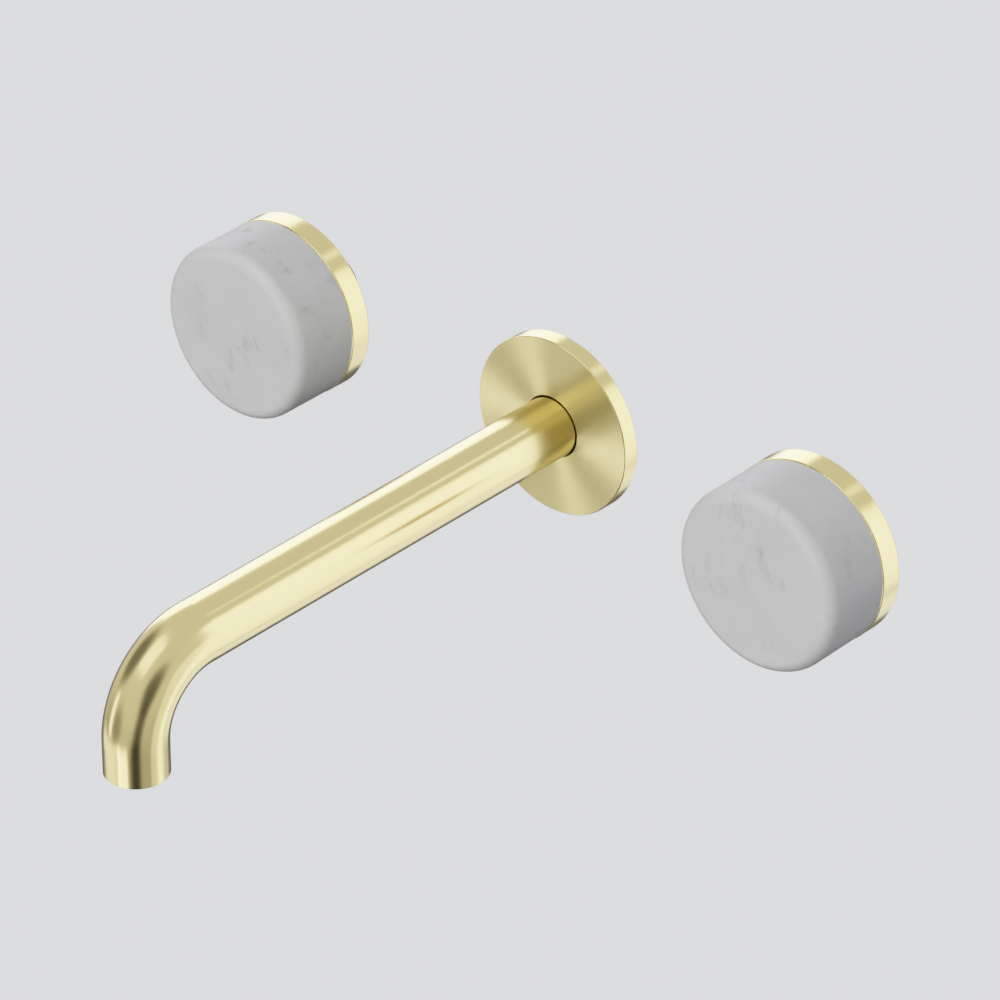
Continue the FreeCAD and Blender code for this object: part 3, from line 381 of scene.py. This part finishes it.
def grained(name, light, dark, grain, detail, roughness, spread, depth, ior):
    """A matt surface whose colour, gloss and height all follow one fine grain."""
    material, tree = new_material(name)
    where = add_node(tree, "ShaderNodeTexCoord")
    noise = add_node(tree, "ShaderNodeTexNoise", {"Vector": where.outputs["Object"], "Scale": 1 / grain,
                                                  "Detail": detail, "Roughness": 0.6})
    even = add_node(tree, "ShaderNodeMapRange", {"Value": noise.outputs["Fac"], "From Min": NOISE_LOW,
                                                 "From Max": NOISE_HIGH})
    colour = add_node(tree, "ShaderNodeMix", {"Factor": even.outputs["Result"], "A": from_hex(light),
                                              "B": from_hex(dark)}, data_type="RGBA")
    rough = add_node(tree, "ShaderNodeMapRange", {"Value": even.outputs["Result"],
                                                  "To Min": roughness - spread,
                                                  "To Max": roughness + spread})
    bump = add_node(tree, "ShaderNodeBump", {"Strength": 0.5, "Distance": depth,
                                             "Height": noise.outputs["Fac"]})
    dress(tree, {"Base Color": colour.outputs["Result"], "Roughness": rough.outputs["Result"], "IOR": ior,
                 "Normal": bump.outputs["Normal"]})
    return material


def black_rubber():
    """Nitrile rubber, moulded: near black, dull, with a trace of the mould's spark-eroded grain."""
    return grained("black_nitrile_rubber", "#2A2A2B", "#1B1B1C", grain=0.4 * MM, detail=3.0,
                   roughness=0.55, spread=0.08, depth=0.03 * MM, ior=1.52)


def foam_gasket():
    """Closed-cell EPDM foam, cut from sheet: charcoal, matt, with open cut cells at its edges."""
    material, tree = new_material("cut_epdm_foam")
    where = add_node(tree, "ShaderNodeTexCoord")
    cells = add_node(tree, "ShaderNodeTexVoronoi", {"Vector": where.outputs["Object"],
                                                    "Scale": 1 / (0.8 * MM)})
    colour = add_node(tree, "ShaderNodeMix", {"Factor": cells.outputs["Distance"],
                                              "A": from_hex("#1E1F20"), "B": from_hex("#4A4B4D")},
                      data_type="RGBA")
    bump = add_node(tree, "ShaderNodeBump", {"Strength": 0.7, "Distance": 0.2 * MM,
                                             "Height": cells.outputs["Distance"]})
    dress(tree, {"Base Color": colour.outputs["Result"], "Roughness": 0.92, "IOR": 1.47,
                 "Normal": bump.outputs["Normal"]})
    return material


def white_acetal():
    """Acetal, injection moulded: milky white with a low sheen and faint flow marks."""
    return grained("moulded_white_acetal", "#E9E8E3", "#DFDED8", grain=2.5 * MM, detail=3.0,
                   roughness=0.38, spread=0.05, depth=0.02 * MM, ior=1.48)


def red_fibre():
    """Vulcanised fibre, punched from sheet: brick red, with short crossed paper fibres."""
    return grained("punched_red_fibre", "#9A4A38", "#6F2E22", grain=0.5 * MM, detail=6.0,
                   roughness=0.75, spread=0.1, depth=0.06 * MM, ior=1.53)


def lapped_alumina():
    """Alumina ceramic, fired and lapped: warm white, close to a mirror, with tiny grain."""
    return grained("lapped_alumina", "#F0ECE3", "#E4DFD4", grain=0.3 * MM, detail=4.0,
                   roughness=0.2, spread=0.05, depth=0.004 * MM, ior=1.77)


def satin_brass_tube():
    """Satin brass tube, rubbed round its girth all the way through the bend."""
    material, tree = new_material("satin_brass_tube")
    where = add_node(tree, "ShaderNodeTexCoord")
    axes = add_node(tree, "ShaderNodeSeparateXYZ", {"Vector": where.outputs["Object"]})
    # How far a point lies past the bend's start and above its end: both zero outside the bend.
    past = add_node(tree, "ShaderNodeMath", {0: BEND_CENTRE_Y, 1: axes.outputs["Y"]}, operation="SUBTRACT")
    past = add_node(tree, "ShaderNodeMath", {0: past.outputs[0], 1: 0.0}, operation="MAXIMUM")
    above = add_node(tree, "ShaderNodeMath", {0: axes.outputs["Z"], 1: BEND_CENTRE_Z}, operation="SUBTRACT")
    above = add_node(tree, "ShaderNodeMath", {0: above.outputs[0], 1: 0.0}, operation="MAXIMUM")
    course = add_node(tree, "ShaderNodeCombineXYZ", {"Y": above.outputs[0], "Z": past.outputs[0]})
    course = add_node(tree, "ShaderNodeVectorMath", {0: course.outputs["Vector"]}, operation="NORMALIZE")
    # The length run along the centre line: straight, round the bend, and down the drop.
    turn = add_node(tree, "ShaderNodeMath", {0: past.outputs[0], 1: above.outputs[0]}, operation="ARCTAN2")
    turn = add_node(tree, "ShaderNodeMath", {0: turn.outputs[0], 1: BEND_RADIUS}, operation="MULTIPLY")
    straight = add_node(tree, "ShaderNodeMath", {0: axes.outputs["Y"], 1: BEND_CENTRE_Y}, operation="MAXIMUM")
    drop = add_node(tree, "ShaderNodeMath", {0: axes.outputs["Z"], 1: BEND_CENTRE_Z}, operation="MINIMUM")
    run = add_node(tree, "ShaderNodeMath", {0: straight.outputs[0], 1: drop.outputs[0]}, operation="ADD")
    run = add_node(tree, "ShaderNodeMath", {0: turn.outputs[0], 1: run.outputs[0]}, operation="SUBTRACT")
    fine = add_node(tree, "ShaderNodeMath", {0: run.outputs[0], 1: 1 / SATIN_LINE}, operation="MULTIPLY")
    round_it = add_node(tree, "ShaderNodeMath", {0: axes.outputs["X"], 1: 1 / TUBE_RADIUS},
                        operation="MULTIPLY")
    lines = rubbed_lines(tree, fine.outputs[0], round_it.outputs[0])
    rough = add_node(tree, "ShaderNodeMapRange", {"Value": lines.outputs["Fac"], "To Min": 0.16,
                                                  "To Max": 0.24})
    bump = add_node(tree, "ShaderNodeBump", {"Strength": 0.3, "Distance": 0.02 * MM,
                                             "Height": lines.outputs["Fac"]})
    dress(tree, {"Base Color": from_hex(SATIN_BRASS), "Metallic": 1.0, "Roughness": rough.outputs["Result"],
                 "Anisotropic": 0.35, "Tangent": course.outputs["Vector"], "Normal": bump.outputs["Normal"]})
    return material


def honed_marble(name, start, lean):
    """White Carrara-type marble, honed matt: cloudy white with sparse grey smudges along one grain. start
    is the knob's place in the block, and lean the grain's slant in degrees, seen from the front."""
    material, tree = new_material(name)
    where = add_node(tree, "ShaderNodeTexCoord")
    laid = add_node(tree, "ShaderNodeMapping", {"Vector": where.outputs["Object"], "Location": start,
                                                "Rotation": (0, math.radians(lean), 0),
                                                "Scale": SMUDGE_SIZE},
                    vector_type="TEXTURE")
    smudge = add_node(tree, "ShaderNodeTexNoise", {"Vector": laid.outputs["Vector"], "Scale": 1.0,
                                                   "Detail": 7.0, "Roughness": 0.66, "Distortion": 0.5})
    halo = add_node(tree, "ShaderNodeMapRange", {
        "Value": smudge.outputs["Fac"], "From Min": SMUDGE_BEGINS, "From Max": SMUDGE_FULL},
                    interpolation_type="SMOOTHSTEP")
    # Where a second pattern crosses its middle value, a thin crack darkens the smudge.
    crack = add_node(tree, "ShaderNodeTexNoise", {"Vector": laid.outputs["Vector"], "Scale": 1.3,
                                                  "Detail": 5.0, "Roughness": 0.6, "Distortion": 1.2})
    near = add_node(tree, "ShaderNodeMath", {0: crack.outputs["Fac"], 1: 0.5}, operation="SUBTRACT")
    near = add_node(tree, "ShaderNodeMath", {0: near.outputs[0]}, operation="ABSOLUTE")
    line = add_node(tree, "ShaderNodeMapRange", {"Value": near.outputs[0], "From Min": CRACK_WIDTH,
                                                 "From Max": 0.0})
    moved = add_node(tree, "ShaderNodeVectorMath", {0: where.outputs["Object"], 1: start},
                     operation="SUBTRACT")
    patch = add_node(tree, "ShaderNodeTexNoise", {"Vector": moved.outputs["Vector"],
                                                  "Scale": 1 / PATCH_SIZE, "Detail": 1.0})
    veined = add_node(tree, "ShaderNodeMapRange", {"Value": patch.outputs["Fac"],
                                                   "From Min": PATCH_BEGINS, "From Max": PATCH_FULL})
    lined = add_node(tree, "ShaderNodeMath", {0: line.outputs["Result"], 1: halo.outputs["Result"]},
                     operation="MULTIPLY")
    both = add_node(tree, "ShaderNodeMath", {0: lined.outputs[0], 1: 0.5, 2: halo.outputs["Result"]},
                    operation="MULTIPLY_ADD")
    vein = add_node(tree, "ShaderNodeMath", {0: both.outputs[0], 1: veined.outputs["Result"]},
                    operation="MULTIPLY", use_clamp=True)
    cloud = add_node(tree, "ShaderNodeTexNoise", {"Vector": moved.outputs["Vector"],
                                                  "Scale": 1 / CLOUD_SIZE, "Detail": 6.0,
                                                  "Roughness": 0.6, "Distortion": 0.4})
    body = add_node(tree, "ShaderNodeMix", {"Factor": cloud.outputs["Fac"], "A": from_hex(MARBLE_WHITE),
                                            "B": from_hex(MARBLE_CLOUD)}, data_type="RGBA")
    colour = add_node(tree, "ShaderNodeMix", {"Factor": vein.outputs[0], "A": body.outputs["Result"],
                                              "B": from_hex(MARBLE_SMUDGE)}, data_type="RGBA")
    rough = add_node(tree, "ShaderNodeMapRange", {"Value": cloud.outputs["Fac"], "To Min": 0.46,
                                                  "To Max": 0.54})
    dress(tree, {"Base Color": colour.outputs["Result"], "Roughness": rough.outputs["Result"], "IOR": 1.55})
    return material


# ---------------------------------------------------------------- fine shapes
# G1/2 pipe thread, and the plain core that is left inside it.
PIPE_PITCH = 1.814 * MM
PIPE_RADIUS = 10.4775 * MM
PIPE_DEPTH = 1.16 * MM
CORE_RADIUS = 9.3 * MM
# Shares of half a pitch: the flat at the crest, and the sloping flank after it. The rest is the root.
CREST_FLAT = 0.17
FLANK = 0.66
# Where each pipe thread starts, out of the wall, and how long it is and how it leads in.
NIPPLE_THREAD = (4.2 * MM, 11.3 * MM, 0.8 * MM)
HEADWORK_THREAD = (3.9 * MM, 6.5 * MM, 0.4 * MM)
# The cover flange: fillets at its back edge, front edge and bore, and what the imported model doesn't tell.
BACK_FILLET = 0.25 * MM
FRONT_FILLET = 0.45 * MM
BORE_FILLET = 0.2 * MM
BORE_GAP = 0.4 * MM
GASKET_GAP = 0.05 * MM
BOSS_RADIUS = 14.0 * MM
# How finely shapes are drawn: steps round half a ring or one thread, along one turn of thread, and round
# a fillet.
AROUND = 96
STEPS_PER_TURN = 10
FILLET_STEPS = 6
# A small margin: the strip beside a fillet that keeps its shading off the flat, and how far a thread's
# inner wall sinks into the core.
SUPPORT = 0.12 * MM
WELD = 0.001 * MM    # points closer than this are joined
SHARP_ANGLE = 32    # degrees between two faces that show a sharp edge
FACING = 0.99    # a face within about 8 degrees of a direction counts as facing it


def thread_tree(finish):
    """A geometry tree that makes a ring of pipe thread, closed by an inner wall, round an axis along Y."""
    tree = bpy.data.node_groups.new("pipe_thread", "GeometryNodeTree")
    tree.interface.new_socket("Geometry", in_out="OUTPUT", socket_type="NodeSocketGeometry")
    for name in ("Axis X", "Start", "Length", "Major Radius", "Core Radius", "Pitch", "Depth", "Lead"):
        tree.interface.new_socket(name, in_out="INPUT", socket_type="NodeSocketFloat")
    for name in ("Around", "Along"):
        tree.interface.new_socket(name, in_out="INPUT", socket_type="NodeSocketInt")
    given = add_node(tree, "NodeGroupInput").outputs
    math_node = "ShaderNodeMath"

    # A flat grid is wrapped round: its X runs round the axis, its Y along the section of the ring. The
    # section's first row, its last row and the one before that lie on the inner wall.
    last = add_node(tree, math_node, {0: given["Along"], 1: 3.0}, operation="ADD").outputs[0]
    columns = add_node(tree, math_node, {0: given["Around"], 1: 1.0}, operation="ADD").outputs[0]
    rows = add_node(tree, math_node, {0: last, 1: 1.0}, operation="ADD").outputs[0]
    grid = add_node(tree, "GeometryNodeMeshGrid", {"Size X": 1.0, "Size Y": 1.0, "Vertices X": columns,
                                                   "Vertices Y": rows})
    place = add_node(tree, "GeometryNodeInputPosition")
    axes = add_node(tree, "ShaderNodeSeparateXYZ", {"Vector": place.outputs["Position"]})
    turn = add_node(tree, math_node, {0: axes.outputs["X"], 1: 0.5}, operation="ADD").outputs[0]
    share = add_node(tree, math_node, {0: axes.outputs["Y"], 1: 0.5}, operation="ADD").outputs[0]
    row = add_node(tree, math_node, {0: share, 1: last}, operation="MULTIPLY").outputs[0]

    # How far along the thread a row lies. The last row comes back to the start and closes the ring.
    step = add_node(tree, math_node, {0: row, 1: 1.0}, operation="SUBTRACT").outputs[0]
    along = add_node(tree, math_node, {0: step, 1: given["Along"]}, operation="DIVIDE",
                     use_clamp=True).outputs[0]
    last_but_half = add_node(tree, math_node, {0: last, 1: 0.5}, operation="SUBTRACT").outputs[0]
    before_last = add_node(tree, math_node, {0: row, 1: last_but_half}, operation="LESS_THAN").outputs[0]
    along = add_node(tree, math_node, {0: along, 1: before_last}, operation="MULTIPLY").outputs[0]
    run = add_node(tree, math_node, {0: along, 1: given["Length"]}, operation="MULTIPLY").outputs[0]
    turns = add_node(tree, math_node, {0: run, 1: given["Pitch"]}, operation="DIVIDE").outputs[0]

    # Which rows lie outside, on the thread itself.
    after_first = add_node(tree, math_node, {0: row, 1: 0.5}, operation="GREATER_THAN").outputs[0]
    inner_rows = add_node(tree, math_node, {0: last, 1: 1.5}, operation="SUBTRACT").outputs[0]
    before_inner = add_node(tree, math_node, {0: row, 1: inner_rows}, operation="LESS_THAN").outputs[0]
    outside = add_node(tree, math_node, {0: after_first, 1: before_inner}, operation="MULTIPLY").outputs[0]

    # The V of the thread, flattened at its crest and its root, which fades out near the shoulder.
    wound = add_node(tree, math_node, {0: turns, 1: turn}, operation="ADD").outputs[0]
    phase = add_node(tree, math_node, {0: wound}, operation="FRACT").outputs[0]
    slope = add_node(tree, math_node, {0: phase, 1: 2.0, 2: -1.0}, operation="MULTIPLY_ADD").outputs[0]
    slope = add_node(tree, math_node, {0: slope}, operation="ABSOLUTE").outputs[0]
    root = add_node(tree, math_node, {0: slope, 1: CREST_FLAT}, operation="SUBTRACT").outputs[0]
    root = add_node(tree, math_node, {0: root, 1: FLANK}, operation="DIVIDE", use_clamp=True).outputs[0]
    fade = add_node(tree, math_node, {0: turns, 1: 1.0}, operation="MULTIPLY", use_clamp=True).outputs[0]
    groove = add_node(tree, math_node, {0: root, 1: fade}, operation="MULTIPLY").outputs[0]
    groove = add_node(tree, math_node, {0: groove, 1: given["Depth"]}, operation="MULTIPLY").outputs[0]

    # The bevel that leads the thread in, and the radius that is left. It never goes below the core.
    to_end = add_node(tree, math_node, {0: given["Length"], 1: run}, operation="SUBTRACT").outputs[0]
    lead = add_node(tree, math_node, {0: given["Lead"], 1: to_end}, operation="SUBTRACT").outputs[0]
    cut = add_node(tree, math_node, {0: groove, 1: lead}, operation="MAXIMUM").outputs[0]
    radius = add_node(tree, math_node, {0: given["Major Radius"], 1: cut}, operation="SUBTRACT").outputs[0]
    radius = add_node(tree, math_node, {0: radius, 1: given["Core Radius"]}, operation="MAXIMUM").outputs[0]
    proud = add_node(tree, math_node, {0: radius, 1: given["Core Radius"]}, operation="SUBTRACT").outputs[0]
    proud = add_node(tree, math_node, {0: proud, 1: outside}, operation="MULTIPLY").outputs[0]
    radius = add_node(tree, math_node, {0: proud, 1: given["Core Radius"]}, operation="ADD").outputs[0]

    angle = add_node(tree, math_node, {0: turn, 1: 2 * math.pi}, operation="MULTIPLY").outputs[0]
    across = add_node(tree, math_node, {0: angle}, operation="COSINE").outputs[0]
    up = add_node(tree, math_node, {0: angle}, operation="SINE").outputs[0]
    x = add_node(tree, math_node, {0: radius, 1: across, 2: given["Axis X"]}, operation="MULTIPLY_ADD")
    y = add_node(tree, math_node, {0: given["Start"], 1: run}, operation="ADD")
    z = add_node(tree, math_node, {0: radius, 1: up}, operation="MULTIPLY")
    wrapped = add_node(tree, "ShaderNodeCombineXYZ", {"X": x.outputs[0], "Y": y.outputs[0],
                                                      "Z": z.outputs[0]})
    moved = add_node(tree, "GeometryNodeSetPosition", {"Geometry": grid.outputs["Mesh"],
                                                       "Position": wrapped.outputs["Vector"]})
    closed = add_node(tree, "GeometryNodeMergeByDistance", {"Geometry": moved.outputs["Geometry"],
                                                            "Distance": WELD})
    whole = add_node(tree, "GeometryNodeRealizeInstances", {"Geometry": closed.outputs["Geometry"]})
    finished = add_node(tree, "GeometryNodeSetMaterial", {"Geometry": whole.outputs["Geometry"],
                                                          "Material": finish})
    add_node(tree, "NodeGroupOutput", {"Geometry": finished.outputs["Geometry"]})
    return tree


def grown(tree, values):
    """The plain mesh that a geometry tree makes with these input values."""
    holder = link(bpy.data.objects.new("holder", bpy.data.meshes.new("holder")))
    modifier = holder.modifiers.new("grow", "NODES")
    modifier.node_group = tree
    for socket in tree.interface.items_tree:
        if socket.in_out == "INPUT":
            modifier[socket.identifier] = values[socket.name]
    graph = bpy.context.evaluated_depsgraph_get()
    mesh = bpy.data.meshes.new_from_object(holder.evaluated_get(graph))
    bpy.data.objects.remove(holder)
    return mesh


def threaded(node, axis_x, thread, finish):
    """A copy of a node whose plain pipe end gets its real thread."""
    start, length, lead = thread
    work = bmesh.new()
    work.from_mesh(NODES[node].data)
    bmesh.ops.remove_doubles(work, verts=work.verts, dist=WELD)
    # The plain end shrinks to the core, and the ring of thread is put round it.
    for corner in work.verts:
        radius = math.hypot(corner.co.x - axis_x, corner.co.z)
        if radius > CORE_RADIUS and start - SUPPORT < corner.co.y < start + length + SUPPORT:
            corner.co.x = axis_x + (corner.co.x - axis_x) * CORE_RADIUS / radius
            corner.co.z *= CORE_RADIUS / radius
    ring = grown(thread_tree(finish), {
        "Axis X": axis_x, "Start": start, "Length": length, "Major Radius": PIPE_RADIUS,
        "Core Radius": CORE_RADIUS - SUPPORT, "Pitch": PIPE_PITCH, "Depth": PIPE_DEPTH, "Lead": lead,
        "Around": AROUND, "Along": round(length / PIPE_PITCH * STEPS_PER_TURN)})
    work.from_mesh(ring)
    bmesh.ops.recalc_face_normals(work, faces=work.faces)
    finish_piece(work, node + "_threaded", [finish], "wall_fixings", node)


def finish_piece(work, name, finishes, body, node):
    """Turns the worked shape into a piece that stands for a node and moves with its body."""
    mesh = bpy.data.meshes.new(name)
    for face in work.faces:
        face.smooth = True
    work.to_mesh(mesh)
    work.free()
    mesh.set_sharp_from_angle(angle=math.radians(SHARP_ANGLE))
    for finish in finishes:
        mesh.materials.append(finish)
    piece = link(bpy.data.objects.new(name, mesh))
    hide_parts(node)
    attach(piece, body)


def rounded(corners):
    """The points of a closed section given as corners: radius, height out of the wall, and fillet, which
    is 0 for a sharp corner."""
    points = []
    for step, (radius, height, fillet) in enumerate(corners):
        here = Vector((radius, height))
        if fillet == 0:
            points.append(here)
            continue
        before = (Vector(corners[step - 1][:2]) - here).normalized()
        after = (Vector(corners[(step + 1) % len(corners)][:2]) - here).normalized()
        centre = here + (before + after) * fillet
        points.append(here + before * (fillet + SUPPORT))
        for part in range(FILLET_STEPS + 1):
            a = part / FILLET_STEPS * math.pi / 2
            points.append(centre - after * math.cos(a) * fillet - before * math.sin(a) * fillet)
        points.append(here + after * (fillet + SUPPORT))
    return points


def turned(corners, axis_x):
    """A closed ring turned from its section, round an axis that stands out of the wall."""
    work = bmesh.new()
    rings = []
    for part in range(AROUND * 2):
        a = part / AROUND * math.pi
        rings.append([work.verts.new((axis_x + p.x * math.cos(a), -p.y, p.x * math.sin(a)))
                      for p in rounded(corners)])
    for part, ring in enumerate(rings):
        following = rings[(part + 1) % len(rings)]
        for step in range(len(ring)):
            again = (step + 1) % len(ring)
            work.faces.new((ring[step], following[step], following[again], ring[again]))
    bmesh.ops.recalc_face_normals(work, faces=work.faces)
    return work


def cover_flange(face_finish, edge_finish):
    """The spout's cover flange: flat turned face, rounded rim, hollow back and a groove for its ring."""
    front = -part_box("spout_flange")[0].y
    outer = girth("spout_flange")
    bore = TUBE_RADIUS + BORE_GAP
    hollow = -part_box("spout_flange_gasket")[0].y
    hollow_outer = girth("spout_flange_gasket") + GASKET_GAP
    groove_radius = girth("spout_flange_ring")
    ring_low, ring_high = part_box("spout_flange_ring")
    work = turned([
        (bore, 0, 0), (BOSS_RADIUS, 0, 0), (BOSS_RADIUS, hollow, 0), (hollow_outer, hollow, 0),
        (hollow_outer, 0, 0), (outer, 0, BACK_FILLET), (outer, front, FRONT_FILLET),
        (bore, front, BORE_FILLET), (bore, -ring_low.y, 0), (groove_radius, -ring_low.y, 0),
        (groove_radius, -ring_high.y, 0), (bore, -ring_high.y, 0)], 0.0)
    for face in work.faces:
        flat = face.normal.y < -FACING and face.calc_center_median().y < -front + SUPPORT
        face.material_index = 1 if flat else 0
    finish_piece(work, "spout_flange_turned", [edge_finish, face_finish], "spout_cover", "spout_flange")


# ---------------------------------------------------------------- the scene
make_floor(painted_floor())
for row in SOFTBOXES:
    softbox = make_panel(*row)
    softbox.visible_diffuse = False
    softbox.data.color = from_hex(DAYLIGHT)[:3]
make_panel(*KEY_PANEL).visible_glossy = False
make_studio()
set_film()

# What the round pieces were turned about: a label, a point on the axis and the way it runs.
SPOUT = ("spout", Vector((0, 0, 0)), "Y")
OUTLET = ("outlet", Vector((0, OUTLET_AXIS, 0)), "Z")
HOT = ("hot", Vector((HOT_AXIS, 0, 0)), "Y")
COLD = ("cold", Vector((COLD_AXIS, 0, 0)), "Y")


def group_of(node):
    """Which axis a node was turned round."""
    if node.startswith(("outlet", "aerator")):
        return OUTLET
    for group in (HOT, COLD):
        if node.startswith(group[0]):
            return group
    return SPOUT


finishes = {"black_rubber": black_rubber(), "foam_gasket": foam_gasket(), "white_plastic": white_acetal(),
            "fibre": red_fibre(), "alumina": lapped_alumina()}
for label, centre, axis in (SPOUT, OUTLET, HOT, COLD):
    finishes["turned_brass", label] = bare_brass("bare_brass_" + label, centre, axis)
    finishes["stainless_steel", label] = stainless_steel("stainless_steel_" + label, centre, axis)
    finishes["brushed_brass", label] = satin_brass_edge("satin_brass_" + label, centre)
# Each knob is cut from its own place in the block, and the grain leans differently in each.
hot_start = middle("hot_marble_knob") + Vector((0.03, -0.195, -0.113))
cold_start = middle("cold_marble_knob") + Vector((0.006, 0.058, 0.079))
finishes["marble", "hot"] = honed_marble("honed_marble_hot", hot_start, lean=-44)
finishes["marble", "cold"] = honed_marble("honed_marble_cold", cold_start, lean=-8)

for row in frame["record"]["subparts"]:
    node = NODES[row["node"]]
    slot = row["material_slot"]
    finish = finishes.get(slot) or finishes[slot, group_of(row["node"])[0]]
    node.data.materials.clear()
    node.data.materials.append(finish)
    # The taps stay out of the spout's reflections, which show the light alone.
    if row["node"].startswith(("hot", "cold")):
        node.visible_glossy = False
NODES["spout_tube"].data.materials[0] = satin_brass_tube()

threaded("spout_nipple", 0.0, NIPPLE_THREAD, finishes["turned_brass", "spout"])
threaded("hot_headwork", HOT_AXIS, HEADWORK_THREAD, finishes["turned_brass", "hot"])
threaded("cold_headwork", COLD_AXIS, HEADWORK_THREAD, finishes["turned_brass", "cold"])
cover_flange(satin_brass_face("satin_brass_flange_face", SPOUT[1]), finishes["brushed_brass", "spout"])
